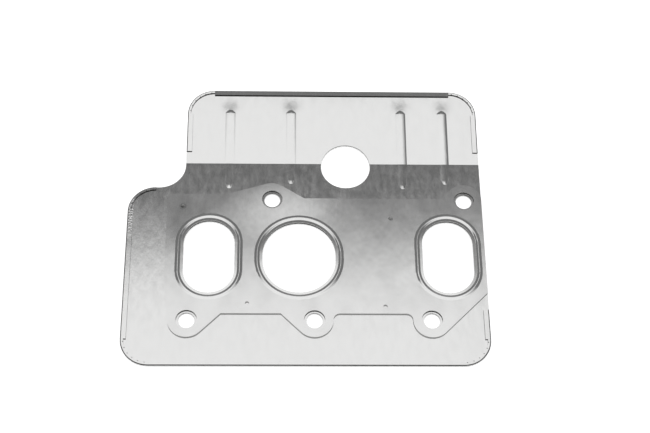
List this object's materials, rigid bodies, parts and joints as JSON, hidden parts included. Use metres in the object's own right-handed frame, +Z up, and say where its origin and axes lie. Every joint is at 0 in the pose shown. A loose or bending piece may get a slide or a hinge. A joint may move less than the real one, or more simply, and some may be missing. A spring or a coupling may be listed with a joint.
{
  "type": "exhaust manifold gasket",
  "caption": "Multi-layer steel gasket with beaded rings round its ports, clinched on a wide ribbed heat shield with hemmed edges and a bent-up upper panel.",
  "frame": {"origin": "middle of the footprint, on the surface that the shield's underside lies on", "axes": "+X along the row of ports towards the port at the shield's edge, +Y towards the bent-up panel, +Z up from the shield to the sealing layers"},
  "size_m": [0.194, 0.1688, 0.0049],
  "materials": {
    "shield_sheet": "plain coated sheet steel, satin",
    "layer_sheet": "stainless spring steel, satin"
  },
  "bodies": {
    "root": {"heat_shield": "shield_sheet", "lower_bead_layer": "layer_sheet", "upper_bead_layer": "layer_sheet"}
  },
  "joints": []
}
